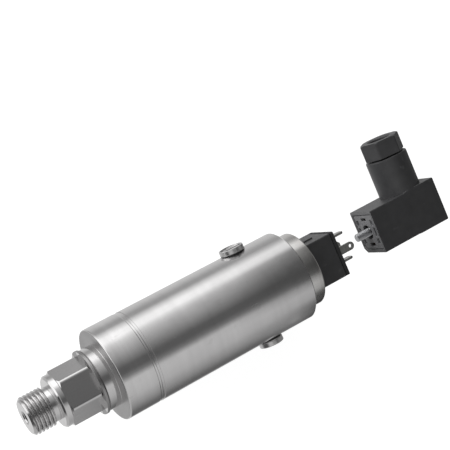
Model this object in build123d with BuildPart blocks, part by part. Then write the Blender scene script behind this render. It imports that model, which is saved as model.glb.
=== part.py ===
from build123d import *
import os

os.makedirs("parts", exist_ok=True)

# A pressure transmitter: a stainless pressure fitting and housing tube, and a
# right-angle plug that is drawn off its four-blade header.
# Millimetres. +X runs from the pressure side to the plug, +Y from the span screw
# to the zero screw, +Z up. The origin is the centre of the face that seals
# against the pressure line.

# Pressure fitting, from its thread to the seam with the housing tube
thread_d = 13.157
stub_length = 10.0
stub_chamfer = 1.0
relief_d = 11.6
relief_length = 2.2
relief_slope = 0.15
port_d = 4.0
port_chamfer = 0.4
collar_d = 17.9
collar_length = 2.2
collar_chamfer = 0.6
hex_flats = 17.0
hex_length = 11.0
hex_turn = -12.0
hex_end_d = 17.4
hex_chamfer = 0.75
rim_d = 22.4
rim_length = 1.3
rim_chamfer = 0.35
neck_d = 21.6
neck_length = 4.1

# Body
body_d = 32.0
body_length = 73.2
body_edge = 0.45
seam_from_front = 12.3
seam_width = 1.7
seam_depth = 0.15
wall = 2.5
fit_gap = 0.03

body_front = collar_length + hex_length + rim_length + neck_length
body_back = body_front + body_length
seam_x = body_front + seam_from_front
bore_d = body_d - 2 * wall

# Sensor, from the bottom of its pocket
pocket_floor = 1.6
pocket_d = 18.0
pocket_joint = 6.0
seal_height = 1.6
seal_section = 1.5
seal_room = 0.1
cell_length = 7.6
diaphragm_rim = 1.2
diaphragm_thickness = 0.2
diaphragm_inset = 0.4
clamp_length = 4.4
clamp_width = 3.5
clamp_slot = 2.4
clamp_slot_depth = 1.2
pin_d = 0.9
pin_reach = 3.2
pin_depth = 3.0

pocket_x = body_front + pocket_floor
cell_lip_d = pocket_d - 2 * seal_section
diaphragm_d = cell_lip_d - 2 * diaphragm_rim
cell_x = pocket_x + seal_height
clamp_x = cell_x + cell_length
spigot_end = seam_x + pocket_joint

# Circuit boards
board = 1.6
board_gap = 0.4
board_side_gap = 1.3
board_drop = 2.4
board_hole_d = 2.2
board_hole_y = 9.0
board_hole_from_front = 6.8
chip_length = 9.0
chip_width = 7.0
chip_height = 1.8
chip_from_adjust = 23.2
driver_length = 5.0
driver_width = 4.0
driver_height = 1.4
driver_from_adjust = 11.7
driver_y = 5.5
resistor_length = 3.2
resistor_width = 1.6
resistor_height = 1.2
resistor_from_adjust = 17.7
resistor_y = 9.5
capacitor_d = 4.4
capacitor_height = 6.0
capacitor_gap = 0.2
cap_spigot = 8.0

board_top = -board_drop
main_board_x = spigot_end + board
main_board_width = bore_d - 2 * board_side_gap
board_hole_x = main_board_x + board_hole_from_front
cap_inner = body_back - cap_spigot

# Zero and span adjusters and the screws that close them
adjust_from_back = 15.6
screw_head_d = 8.6
screw_head = 1.9
screw_edge = 0.4
screw_slot = 1.2
screw_slot_depth = 0.9
screw_d = 5.0
screw_reach = 1.1
screw_tip = 0.4
spot_d = 8.8
spot_depth = 0.6
washer = 0.6
washer_d = 8.0
thread_room = 0.1
trimmer_size = 6.4
trimmer_depth = 5.0
trimmer_inset = 3.5
rotor_d = 3.4
rotor_length = 2.6
rotor_rise = 0.6
rotor_room = 0.05
rotor_slot = 0.5
rotor_cross = 2.6

adjust_x = body_back - adjust_from_back
driver_x = adjust_x - driver_from_adjust
resistor_x = adjust_x - resistor_from_adjust
spot_y = body_d / 2 - spot_depth
head_y = spot_y + washer
screw_end_y = bore_d / 2 - screw_reach
trimmer_y = bore_d / 2 - trimmer_inset
zero_side = Plane((adjust_x, 0, 0), x_dir=(1, 0, 0), z_dir=(0, 1, 0))
span_side = Plane((adjust_x, 0, 0), x_dir=(1, 0, 0), z_dir=(0, -1, 0))

# End cap and header
cap_boss_inset = 2.8
cap_boss = 5.9
cap_boss_edge = 0.6
cap_land = 2.4
ring_width = 1.8
ring_depth = 1.2
ring_room = 0.1
ring_edge = 0.35
header_size = 16.0
header_length = 10.7
header_corner = 0.5
lug_x = 4.8
lug_length = 4.0
lug_width = 5.0
lug_height = 0.5
ring_nut_inset = 2.5
ring_nut_wall = 2.5
ring_nut_room = 0.3
ring_nut = 3.2
ring_nut_slot = 2.4
ring_nut_slot_depth = 1.4
recess_depth = 4.3
gasket = 1.3
bush_d = 5.2
bush_length = 7.0
bush_floor = 0.8
tail_length = 2.0
tail_width = 1.4

cap_back = body_back + cap_boss
header_face = cap_back + header_length
gasket_face = header_face + gasket
nut_seat = cap_inner + recess_depth
cap_boss_d = body_d - 2 * cap_boss_inset
ring_nut_d = bore_d - 2 * ring_nut_inset
header_bore_d = ring_nut_d - 2 * ring_nut_wall
spigot_back = nut_seat - ring_nut - ring_nut_room
tail_x = spigot_back - tail_length

# Contact blades and the contacts they enter
blade_offset = 4.7
blade_width = 2.9
blade_thickness = 0.8
blade_reach = 7.2
blade_taper = 1.0
blade_tip_width = 1.4
blade_edge = 0.25
blade_3_edge = 0.8
eye_d = 1.3
blade_room = 0.1
contact_wall = 0.3
contact_setback = 1.5
contact_depth = 9.0
contact_tail = 3.5
terminal_d = 1.6
terminal_head_d = 2.6
terminal_head = 0.45
lead_d = 1.0
lead_bend = 1.0
lead_run = 2.4
lead_y = 8.6
middle_lead_y = 2.6

# Plug
plug_gap = 16.7
plug_length = 28.3
plug_height = 15.6
plug_width = 14.0
plug_edge = 0.4
plug_cut = 1.6
hood_start = 15.4
hood_rise = 0.5
insert_height = 13.0
insert_width = 12.0
insert_length = 13.0
insert_setback = 0.2
insert_cut = 1.2
chamber_height = 12.2
chamber_back = 4.0
tower_x = 18.4
tower_d = 15.2
tower_top = 21.3
tower_edge = 0.4
screw_bore_d = 3.04
centre_screw_d = 2.9
centre_reach = 5.0
centre_tip = 0.4
centre_edge = 0.3
centre_head_d = 5.5
centre_head = 2.2
centre_slot = 0.8
centre_slot_depth = 1.0
centre_seal = 0.5
head_recess_d = 6.6
head_recess = 3.0
pillar_d = 5.4

plug_x = gasket_face + plug_gap
plug_end = plug_x + plug_length
hood_x = plug_x + hood_start
slot_thickness = blade_thickness + 2 * blade_room
slot_width = blade_width + 2 * blade_room
blade_tip = gasket_face + blade_reach
lead_x = tail_x - lead_run
contact_thickness = slot_thickness + 2 * contact_wall
contact_width = slot_width + 2 * contact_wall
contact_x = plug_x + contact_setback
insert_x = plug_x + insert_setback
insert_end = insert_x + insert_length
terminal_x = insert_end + contact_tail / 2
chamber_end = plug_end - chamber_back
recess_floor = plug_end - head_recess
gland_x = plug_x + tower_x

# Cable gland in the top of the tower
gland_flats = 13.0
gland_head = 6.2
gland_turn = -14.0
gland_end_d = 13.6
gland_chamfer = 0.6
gland_corner_r = 7.8
gland_hole_d = 8.0
gland_hole_edge = 0.5
gland_bore_d = 11.2
gland_floor = 12.0
gland_seal = 5.0
gland_seal_hole_d = 5.0
gland_washer = 0.6
gland_lift = 0.5
cable_bore_d = 9.2
washer_overlap = 0.8

washer_y = gland_floor + gland_seal
spigot_y = washer_y + gland_washer
nut_y = tower_top + gland_lift
nut_top = nut_y + gland_head
tower = Plane((gland_x, 0, 0), x_dir=(1, 0, 0), z_dir=(0, 1, 0))


# The fitting is one turned piece: threaded stub, sealing collar, hexagon, neck
# and the front of the body, with the sensor's pocket bored in from behind.
with BuildPart() as process_fitting:
    with BuildSketch(Plane.YZ.offset(collar_length)):
        RegularPolygon(hex_flats / 2, 6, major_radius=False, rotation=hex_turn)
    extrude(amount=hex_length)
    with BuildSketch(Plane.XY):
        with BuildLine():
            Polyline(
                (collar_length, 0),
                (collar_length, hex_end_d / 2),
                (collar_length + hex_chamfer, hex_flats * 0.58),
                (collar_length + hex_length - hex_chamfer, hex_flats * 0.58),
                (collar_length + hex_length, hex_end_d / 2),
                (collar_length + hex_length, 0),
                close=True,
            )
        make_face()
    revolve(axis=Axis.X, mode=Mode.INTERSECT)

    with BuildSketch(Plane.XY):
        with BuildLine():
            Polyline(
                (-stub_length, 0),
                (-stub_length, thread_d / 2 - stub_chamfer),
                (stub_chamfer - stub_length, thread_d / 2),
                (-relief_length, thread_d / 2),
                (relief_slope - relief_length, relief_d / 2),
                (0, relief_d / 2),
                (0, collar_d / 2 - collar_chamfer),
                (collar_chamfer, collar_d / 2),
                (collar_length, collar_d / 2),
                (collar_length, 0),
                close=True,
            )
        make_face()
        with BuildLine():
            Polyline(
                (body_front - neck_length - rim_length, 0),
                (body_front - neck_length - rim_length, rim_d / 2 - rim_chamfer),
                (body_front - neck_length - rim_length + rim_chamfer, rim_d / 2),
                (body_front - neck_length - rim_chamfer, rim_d / 2),
                (body_front - neck_length, neck_d / 2),
                (body_front, neck_d / 2),
                (body_front, body_d / 2 - body_edge),
                (body_front + body_edge, body_d / 2),
                (seam_x - seam_width / 2, body_d / 2),
                (seam_x - seam_width / 2, body_d / 2 - seam_depth),
                (seam_x, body_d / 2 - seam_depth),
                (seam_x, bore_d / 2 - fit_gap),
                (spigot_end, bore_d / 2 - fit_gap),
                (spigot_end, 0),
                close=True,
            )
        make_face()
    revolve(axis=Axis.X)

    with BuildSketch(Plane.XY):
        with BuildLine():
            Polyline(
                (-stub_length, 0),
                (-stub_length, port_d / 2 + port_chamfer),
                (port_chamfer - stub_length, port_d / 2),
                (pocket_x, port_d / 2),
                (pocket_x, pocket_d / 2),
                (spigot_end, pocket_d / 2),
                (spigot_end, 0),
                close=True,
            )
        make_face()
    revolve(axis=Axis.X, mode=Mode.SUBTRACT)

# The tube is welded to the fitting at the seam. A flat spot on each side seats
# the screws that close the adjusters.
with BuildPart() as housing_tube:
    with BuildSketch(Plane.XY):
        with BuildLine():
            Polyline(
                (seam_x, bore_d / 2),
                (seam_x, body_d / 2 - seam_depth),
                (seam_x + seam_width / 2, body_d / 2 - seam_depth),
                (seam_x + seam_width / 2, body_d / 2),
                (body_back - body_edge, body_d / 2),
                (body_back, body_d / 2 - body_edge),
                (body_back, bore_d / 2),
                close=True,
            )
        make_face()
    revolve(axis=Axis.X)
    for side in (zero_side, span_side):
        with BuildSketch(side.offset(spot_y)):
            Circle(spot_d / 2)
        extrude(amount=2 * spot_depth, mode=Mode.SUBTRACT)
        with BuildSketch(side.offset(spot_y)):
            Circle(screw_d / 2 + thread_room)
        extrude(amount=-2 * wall, mode=Mode.SUBTRACT)

# Sensor cell with its diaphragm, the seal in front of it and the clamp ring
# behind it
with BuildPart() as sensor_o_ring:
    with BuildSketch(Plane.YZ.offset(pocket_x)):
        Circle(pocket_d / 2 - seal_room)
        Circle(cell_lip_d / 2, mode=Mode.SUBTRACT)
    extrude(amount=seal_height)
    fillet(sensor_o_ring.edges(), seal_section / 5)

with BuildPart() as sensor_cell:
    with BuildSketch(Plane.YZ.offset(cell_x)):
        Circle(pocket_d / 2 - fit_gap)
    extrude(amount=cell_length)
    with BuildSketch(Plane.YZ.offset(cell_x)):
        Circle(cell_lip_d / 2 - seal_room)
    extrude(amount=-seal_height + diaphragm_inset)
    with BuildSketch(Plane.YZ.offset(cell_x - seal_height + diaphragm_inset)):
        Circle(diaphragm_d / 2)
    extrude(amount=diaphragm_thickness, mode=Mode.SUBTRACT)
    with BuildSketch(Plane.YZ.offset(cell_x + cell_length)):
        with PolarLocations(pin_reach, 4, start_angle=45):
            Circle(pin_d / 2)
    extrude(amount=-pin_depth, mode=Mode.SUBTRACT)

with BuildPart() as diaphragm:
    with BuildSketch(Plane.YZ.offset(cell_x - seal_height + diaphragm_inset)):
        Circle(diaphragm_d / 2)
    extrude(amount=diaphragm_thickness)

with BuildPart() as clamp_ring:
    with BuildSketch(Plane.YZ.offset(clamp_x)):
        Circle(pocket_d / 2 - fit_gap)
        Circle(pocket_d / 2 - clamp_width, mode=Mode.SUBTRACT)
    extrude(amount=clamp_length)
    with BuildSketch(Plane.YZ.offset(clamp_x + clamp_length)):
        Rectangle(2 * pocket_d, clamp_slot)
    extrude(amount=-clamp_slot_depth, mode=Mode.SUBTRACT)

with BuildPart() as sensor_pins:
    with BuildSketch(Plane.YZ.offset(main_board_x)):
        with PolarLocations(pin_reach, 4, start_angle=45):
            Circle(pin_d / 2)
    extrude(amount=cell_x + cell_length - pin_depth - main_board_x)

# Circuit boards: a round one against the fitting and a long one behind it
with BuildPart() as front_board:
    with BuildSketch(Plane.YZ.offset(spigot_end)):
        Circle(bore_d / 2 - board_gap)
        with PolarLocations(pin_reach, 4, start_angle=45):
            Circle(pin_d / 2, mode=Mode.SUBTRACT)
    extrude(amount=board)

with BuildPart() as main_board:
    with BuildSketch(Plane.XY.offset(board_top - board)):
        with Locations(((main_board_x + cap_inner) / 2, 0)):
            Rectangle(cap_inner - main_board_x, main_board_width)
        with Locations((board_hole_x, board_hole_y), (board_hole_x, -board_hole_y)):
            Circle(board_hole_d / 2, mode=Mode.SUBTRACT)
    extrude(amount=board)

with BuildPart() as board_components:
    with BuildSketch(Plane.XY.offset(board_top)):
        with Locations((adjust_x - chip_from_adjust, 0)):
            Rectangle(chip_length, chip_width)
    extrude(amount=chip_height)
    with BuildSketch(Plane.XY.offset(board_top)):
        with Locations((driver_x, driver_y), (driver_x, -driver_y)):
            Rectangle(driver_length, driver_width)
    extrude(amount=driver_height)
    with BuildSketch(Plane.XY.offset(board_top)):
        with Locations((resistor_x, resistor_y), (resistor_x, -resistor_y)):
            Rectangle(resistor_length, resistor_width)
    extrude(amount=resistor_height)
    with BuildSketch(Plane.XY.offset(board_top)):
        with Locations((adjust_x - (trimmer_size + capacitor_d) / 2 - capacitor_gap, 0)):
            Circle(capacitor_d / 2)
    extrude(amount=capacitor_height)

# One adjuster for zero at +Y and one for span at -Y: a body on the board and a
# rotor that a screwdriver reaches through the hole behind each side screw
with BuildPart() as zero_trimmer:
    with BuildSketch(zero_side.offset(trimmer_y)):
        Rectangle(trimmer_size, 2 * board_drop)
    extrude(amount=-trimmer_depth)
    with BuildSketch(zero_side.offset(trimmer_y)):
        Circle(rotor_d / 2 + rotor_room)
    extrude(amount=rotor_rise - rotor_length, mode=Mode.SUBTRACT)

with BuildPart() as span_trimmer:
    mirror(zero_trimmer.part, about=Plane.XZ)

with BuildPart() as zero_rotor:
    with BuildSketch(zero_side.offset(trimmer_y + rotor_rise)):
        Circle(rotor_d / 2)
    extrude(amount=-rotor_length)
    with BuildSketch(zero_side.offset(trimmer_y + rotor_rise)):
        Rectangle(rotor_cross, rotor_slot)
        Rectangle(rotor_slot, rotor_cross)
    extrude(amount=-rotor_slot, mode=Mode.SUBTRACT)

with BuildPart() as span_rotor:
    mirror(zero_rotor.part, about=Plane.XZ)

with BuildPart() as zero_screw:
    with BuildSketch(zero_side.offset(head_y)):
        Circle(screw_head_d / 2)
    extrude(amount=screw_head)
    fillet(zero_screw.edges().group_by(Axis.Y)[-1], screw_edge)
    with BuildSketch(zero_side.offset(head_y)):
        Circle(screw_d / 2)
    extrude(amount=screw_end_y - head_y)
    chamfer(zero_screw.edges().group_by(Axis.Y)[0], screw_tip)
    with BuildSketch(zero_side.offset(head_y + screw_head)):
        Rectangle(2 * screw_head_d, screw_slot)
    extrude(amount=-screw_slot_depth, mode=Mode.SUBTRACT)

with BuildPart() as span_screw:
    mirror(zero_screw.part, about=Plane.XZ)

with BuildPart() as zero_screw_seal:
    with BuildSketch(zero_side.offset(spot_y)):
        Circle(washer_d / 2)
        Circle(screw_d / 2, mode=Mode.SUBTRACT)
    extrude(amount=washer)

with BuildPart() as span_screw_seal:
    mirror(zero_screw_seal.part, about=Plane.XZ)

# End cap, turned, with a groove for its seal and a recess for the header's nut
with BuildPart() as end_cap:
    with BuildSketch(Plane.XY):
        with BuildLine():
            Polyline(
                (cap_inner, ring_nut_d / 2 + ring_nut_room),
                (cap_inner, bore_d / 2 - fit_gap),
                (cap_inner + cap_land, bore_d / 2 - fit_gap),
                (cap_inner + cap_land, bore_d / 2 - ring_depth),
                (cap_inner + cap_land + ring_width, bore_d / 2 - ring_depth),
                (cap_inner + cap_land + ring_width, bore_d / 2 - fit_gap),
                (body_back, bore_d / 2 - fit_gap),
                (body_back, cap_boss_d / 2),
                (cap_back, cap_boss_d / 2),
                (cap_back, header_bore_d / 2),
                (nut_seat, header_bore_d / 2),
                (nut_seat, ring_nut_d / 2 + ring_nut_room),
                close=True,
            )
        make_face()
    revolve(axis=Axis.X)
    fillet(end_cap.edges().group_by(Axis.X)[-1].sort_by(SortBy.LENGTH)[-1], cap_boss_edge)

with BuildPart() as cap_o_ring:
    with BuildSketch(Plane.YZ.offset(cap_inner + cap_land + ring_room)):
        Circle(bore_d / 2 - fit_gap / 2)
        Circle(bore_d / 2 - ring_depth + fit_gap / 2, mode=Mode.SUBTRACT)
    extrude(amount=ring_width - 2 * ring_room)
    fillet(cap_o_ring.edges(), ring_edge)

# Header: a square insulator on the cap, its spigot held from inside by a ring nut
with BuildPart() as header_base:
    with BuildSketch(Plane.YZ.offset(cap_back)):
        RectangleRounded(header_size, header_size, header_corner)
    extrude(amount=header_length)
    with BuildSketch(Plane.YZ.offset(cap_back)):
        Circle(header_bore_d / 2 - fit_gap)
    extrude(amount=spigot_back - cap_back)
    with Locations((cap_back + lug_x, header_size / 2, 0)):
        Box(lug_length, 2 * lug_height, lug_width)
    fillet(header_base.edges().group_by(Axis.Y)[-1].filter_by(Axis.X), 0.8 * lug_height)
    with BuildSketch(Plane.YZ.offset(header_face)):
        Circle(bush_d / 2)
    extrude(amount=-bush_length, mode=Mode.SUBTRACT)
    with BuildSketch(Plane.YZ.offset(spigot_back)):
        with Locations((blade_offset, 0), (-blade_offset, 0)):
            Rectangle(blade_thickness, blade_width)
        with Locations((0, blade_offset), (0, -blade_offset)):
            Rectangle(blade_width, blade_thickness)
    extrude(amount=header_face - spigot_back, mode=Mode.SUBTRACT)

with BuildPart() as header_ring_nut:
    with BuildSketch(Plane.YZ.offset(nut_seat - ring_nut)):
        Circle(ring_nut_d / 2)
        Circle(header_bore_d / 2, mode=Mode.SUBTRACT)
    extrude(amount=ring_nut)
    with BuildSketch(Plane.YZ.offset(nut_seat - ring_nut)):
        with PolarLocations(ring_nut_d / 2, 4, start_angle=45):
            Rectangle(ring_nut_slot, ring_nut_slot)
    extrude(amount=ring_nut_slot_depth, mode=Mode.SUBTRACT)

with BuildPart() as header_bush:
    with BuildSketch(Plane.YZ.offset(header_face)):
        Circle(bush_d / 2)
    extrude(amount=-bush_length)
    with BuildSketch(Plane.YZ.offset(header_face)):
        Circle(screw_bore_d / 2)
    extrude(amount=bush_floor - bush_length, mode=Mode.SUBTRACT)

with BuildPart() as header_gasket:
    with BuildSketch(Plane.YZ.offset(header_face)):
        RectangleRounded(header_size, header_size, header_corner)
        Circle(bush_d / 2, mode=Mode.SUBTRACT)
        with Locations((blade_offset, 0), (-blade_offset, 0)):
            Rectangle(blade_thickness, blade_width, mode=Mode.SUBTRACT)
        with Locations((0, blade_offset), (0, -blade_offset)):
            Rectangle(blade_width, blade_thickness, mode=Mode.SUBTRACT)
    extrude(amount=gasket)

# Blades: a flat strip each, with a narrow solder tail inside the body. The earth
# blade has a round end with an eye.
with BuildPart() as blade_1:
    with BuildSketch(Plane.XZ.offset(-blade_offset - blade_thickness / 2)):
        with BuildLine():
            Polyline(
                (tail_x, -tail_width / 2),
                (spigot_back, -tail_width / 2),
                (spigot_back, -blade_width / 2),
                (blade_tip - blade_taper, -blade_width / 2),
                (blade_tip, -blade_tip_width / 2),
                (blade_tip, blade_tip_width / 2),
                (blade_tip - blade_taper, blade_width / 2),
                (spigot_back, blade_width / 2),
                (spigot_back, tail_width / 2),
                (tail_x, tail_width / 2),
                close=True,
            )
        make_face()
    extrude(amount=blade_thickness)
    chamfer(blade_1.edges().group_by(Axis.X)[-1].filter_by(Axis.Z), blade_edge)

with BuildPart() as blade_2:
    mirror(blade_1.part, about=Plane.XZ)

with BuildPart() as earth_blade:
    with BuildSketch(Plane.XY.offset(blade_offset - blade_thickness / 2)):
        with Locations(((tail_x + spigot_back) / 2, 0)):
            Rectangle(spigot_back - tail_x, tail_width)
        with Locations(((spigot_back + blade_tip - blade_width / 2) / 2, 0)):
            Rectangle(blade_tip - blade_width / 2 - spigot_back, blade_width)
        with Locations((blade_tip - blade_width / 2, 0)):
            Circle(blade_width / 2)
            Circle(eye_d / 2, mode=Mode.SUBTRACT)
    extrude(amount=blade_thickness)

with BuildPart() as blade_3:
    with BuildSketch(Plane.XY.offset(-blade_offset - blade_thickness / 2)):
        with Locations(((tail_x + spigot_back) / 2, 0)):
            Rectangle(spigot_back - tail_x, tail_width)
        with Locations(((spigot_back + blade_tip) / 2, 0)):
            Rectangle(blade_tip - spigot_back, blade_width)
    extrude(amount=blade_thickness)
    chamfer(blade_3.edges().group_by(Axis.X)[-1].filter_by(Axis.Z), blade_3_edge)

# Leads from the long board to three solder tails: zero side, span side and earth
lead_ends = ((lead_y, blade_offset, 0), (-lead_y, -blade_offset, 0), (middle_lead_y, 0, blade_offset))
with BuildPart() as signal_wires:
    for start_y, tail_y, tail_z in lead_ends:
        with BuildLine():
            FilletPolyline(
                (lead_x, start_y, board_top),
                (lead_x, start_y, tail_z),
                (lead_x, tail_y, tail_z),
                (tail_x, tail_y, tail_z),
                radius=lead_bend,
            )
        with BuildSketch(Plane((lead_x, start_y, board_top))):
            Circle(lead_d / 2)
        sweep()

# Plug housing: a moulded block with a deeper hood behind and a round tower that
# carries the cable gland, hollow for the contact insert and the wiring
with BuildPart() as plug_housing:
    with BuildSketch(Plane.YZ.offset(plug_x)) as plug_end_shape:
        Rectangle(plug_height, plug_width)
        chamfer(plug_end_shape.vertices().group_by(Axis.X)[0].sort_by(Axis.Y)[0], plug_cut)
        fillet(plug_end_shape.vertices(), plug_edge)
    extrude(amount=hood_start + hood_rise)
    with BuildSketch(Plane.YZ.offset(hood_x)) as hood_shape:
        with Locations((hood_rise / 2, 0)):
            Rectangle(plug_height + hood_rise, tower_d)
        chamfer(hood_shape.vertices().group_by(Axis.X)[0].sort_by(Axis.Y)[0], plug_cut)
        fillet(hood_shape.vertices(), plug_edge)
    extrude(amount=plug_length - hood_start)
    chamfer(plug_housing.faces().sort_by(Axis.X)[-1].edges(), plug_edge)
    with BuildSketch(tower):
        Circle(tower_d / 2)
    extrude(amount=tower_top)
    chamfer(plug_housing.edges().group_by(Axis.Y)[-1], tower_edge)

    with BuildSketch(Plane.YZ.offset(plug_x)) as insert_pocket:
        Rectangle(insert_height, insert_width)
        chamfer(insert_pocket.vertices().group_by(Axis.X)[0].sort_by(Axis.Y)[0], insert_cut)
    extrude(amount=insert_end - plug_x, mode=Mode.SUBTRACT)
    with BuildSketch(Plane.YZ.offset(insert_end)) as chamber:
        Rectangle(chamber_height, insert_width)
        chamfer(chamber.vertices().group_by(Axis.X)[0].sort_by(Axis.Y)[0], insert_cut)
        Circle(pillar_d / 2, mode=Mode.SUBTRACT)
    extrude(amount=chamber_end - insert_end, mode=Mode.SUBTRACT)
    with BuildSketch(Plane.YZ.offset(insert_end)):
        Circle(screw_bore_d / 2)
    extrude(amount=plug_length, mode=Mode.SUBTRACT)
    with BuildSketch(Plane.YZ.offset(recess_floor)):
        Circle(head_recess_d / 2)
    extrude(amount=head_recess, mode=Mode.SUBTRACT)

    with BuildSketch(tower.offset(gland_floor)):
        Circle(gland_bore_d / 2)
    extrude(amount=tower_top - gland_floor, mode=Mode.SUBTRACT)
    with BuildSketch(tower.offset(gland_floor)):
        Circle(cable_bore_d / 2)
    extrude(amount=chamber_height / 2 - gland_floor, mode=Mode.SUBTRACT)

# Contact insert, slotted for the blades, with a pocket behind each slot
with BuildPart() as plug_insert:
    with BuildSketch(Plane.YZ.offset(insert_x)) as insert_shape:
        Rectangle(insert_height, insert_width)
        chamfer(insert_shape.vertices().group_by(Axis.X)[0].sort_by(Axis.Y)[0], insert_cut)
        Circle(screw_bore_d / 2, mode=Mode.SUBTRACT)
        with Locations((blade_offset, 0), (-blade_offset, 0)):
            Rectangle(slot_thickness, slot_width, mode=Mode.SUBTRACT)
        with Locations((0, blade_offset), (0, -blade_offset)):
            Rectangle(slot_width, slot_thickness, mode=Mode.SUBTRACT)
    extrude(amount=insert_length)
    with BuildSketch(Plane.YZ.offset(contact_x)):
        with Locations((blade_offset, 0), (-blade_offset, 0)):
            Rectangle(contact_thickness, contact_width)
        with Locations((0, blade_offset), (0, -blade_offset)):
            Rectangle(contact_width, contact_thickness)
    extrude(amount=insert_length, mode=Mode.SUBTRACT)

# Four contacts: a folded sleeve for the blade and a solid tail with its screw
with BuildPart() as plug_contacts:
    with BuildSketch(Plane.YZ.offset(contact_x)):
        with Locations((blade_offset, 0), (-blade_offset, 0)):
            Rectangle(contact_thickness, contact_width)
        with Locations((0, blade_offset), (0, -blade_offset)):
            Rectangle(contact_width, contact_thickness)
    extrude(amount=insert_end + contact_tail - contact_x)
    with BuildSketch(Plane.YZ.offset(contact_x)):
        with Locations((blade_offset, 0), (-blade_offset, 0)):
            Rectangle(slot_thickness, slot_width)
        with Locations((0, blade_offset), (0, -blade_offset)):
            Rectangle(slot_width, slot_thickness)
    extrude(amount=contact_depth, mode=Mode.SUBTRACT)
    for turn in (0, 90, 180, 270):
        with Locations(Rotation(turn, 0, 0) * Location((terminal_x, 0, blade_offset))):
            Cylinder(terminal_d / 2, contact_thickness, mode=Mode.SUBTRACT)

with BuildPart() as terminal_screws:
    for turn in (0, 90, 180, 270):
        with Locations(Rotation(turn, 0, 0) * Location((terminal_x, 0, blade_offset))):
            Cylinder(terminal_d / 2, contact_thickness)
        with Locations(
            Rotation(turn, 0, 0)
            * Location((terminal_x, 0, blade_offset + (contact_thickness + terminal_head) / 2))
        ):
            Cylinder(terminal_head_d / 2, terminal_head)

# Screw through the middle of the plug, with its seal, that draws it onto the header
with BuildPart() as centre_screw:
    with BuildSketch(Plane.YZ.offset(plug_x - centre_reach)):
        Circle(centre_screw_d / 2)
    extrude(amount=recess_floor - plug_x + centre_reach + centre_seal)
    chamfer(centre_screw.edges().group_by(Axis.X)[0], centre_tip)
    with BuildSketch(Plane.YZ.offset(recess_floor + centre_seal)):
        Circle(centre_head_d / 2)
    extrude(amount=centre_head)
    chamfer(centre_screw.edges().group_by(Axis.X)[-1], centre_edge)
    with BuildSketch(Plane.YZ.offset(recess_floor + centre_seal + centre_head)):
        Rectangle(centre_slot, 2 * centre_head_d)
    extrude(amount=-centre_slot_depth, mode=Mode.SUBTRACT)

with BuildPart() as centre_screw_seal:
    with BuildSketch(Plane.YZ.offset(recess_floor)):
        Circle(head_recess_d / 2 - thread_room)
        Circle(screw_bore_d / 2, mode=Mode.SUBTRACT)
    extrude(amount=centre_seal)

# Cable gland: rubber seal, washer, and the nut that squeezes them
with BuildPart() as gland_seal_ring:
    with BuildSketch(tower.offset(gland_floor)):
        Circle(gland_bore_d / 2 - thread_room)
        Circle(gland_seal_hole_d / 2, mode=Mode.SUBTRACT)
    extrude(amount=gland_seal)

with BuildPart() as gland_washer_ring:
    with BuildSketch(tower.offset(washer_y)):
        Circle(gland_bore_d / 2 - thread_room)
        Circle(gland_seal_hole_d / 2 + washer_overlap, mode=Mode.SUBTRACT)
    extrude(amount=gland_washer)

with BuildPart() as gland_nut:
    with BuildSketch(tower.offset(nut_y)):
        RegularPolygon(gland_flats / 2, 6, major_radius=False, rotation=gland_turn)
    extrude(amount=gland_head)
    with BuildSketch(Plane.XY):
        with BuildLine():
            Polyline(
                (gland_x, nut_y),
                (gland_x + gland_corner_r, nut_y),
                (gland_x + gland_corner_r, nut_top - gland_chamfer),
                (gland_x + gland_end_d / 2, nut_top),
                (gland_x, nut_top),
                close=True,
            )
        make_face()
    revolve(axis=Axis((gland_x, 0, 0), (0, 1, 0)), mode=Mode.INTERSECT)
    with BuildSketch(tower.offset(spigot_y)):
        Circle(gland_bore_d / 2 - thread_room)
    extrude(amount=nut_y - spigot_y)
    with BuildSketch(tower.offset(spigot_y)):
        Circle(gland_hole_d / 2)
    extrude(amount=nut_top - spigot_y, mode=Mode.SUBTRACT)
    end_rounds = gland_nut.edges().group_by(Axis.Y)[-1].filter_by(GeomType.CIRCLE)
    chamfer(end_rounds.sort_by(SortBy.LENGTH)[-1], gland_hole_edge)

pieces = {
    "process_fitting": process_fitting,
    "housing_tube": housing_tube,
    "sensor_o_ring": sensor_o_ring,
    "sensor_cell": sensor_cell,
    "diaphragm": diaphragm,
    "clamp_ring": clamp_ring,
    "sensor_pins": sensor_pins,
    "front_board": front_board,
    "main_board": main_board,
    "board_components": board_components,
    "zero_trimmer": zero_trimmer,
    "zero_rotor": zero_rotor,
    "zero_screw": zero_screw,
    "zero_screw_seal": zero_screw_seal,
    "span_trimmer": span_trimmer,
    "span_rotor": span_rotor,
    "span_screw": span_screw,
    "span_screw_seal": span_screw_seal,
    "end_cap": end_cap,
    "cap_o_ring": cap_o_ring,
    "header_base": header_base,
    "header_ring_nut": header_ring_nut,
    "header_bush": header_bush,
    "header_gasket": header_gasket,
    "blade_1": blade_1,
    "blade_2": blade_2,
    "blade_3": blade_3,
    "earth_blade": earth_blade,
    "signal_wires": signal_wires,
    "plug_housing": plug_housing,
    "plug_insert": plug_insert,
    "plug_contacts": plug_contacts,
    "terminal_screws": terminal_screws,
    "centre_screw": centre_screw,
    "centre_screw_seal": centre_screw_seal,
    "gland_seal": gland_seal_ring,
    "gland_washer": gland_washer_ring,
    "gland_nut": gland_nut,
}
for name, piece in pieces.items():
    piece.part.label = name
    export_step(piece.part, f"parts/{name}.step")
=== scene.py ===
# %% [markdown]
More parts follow.
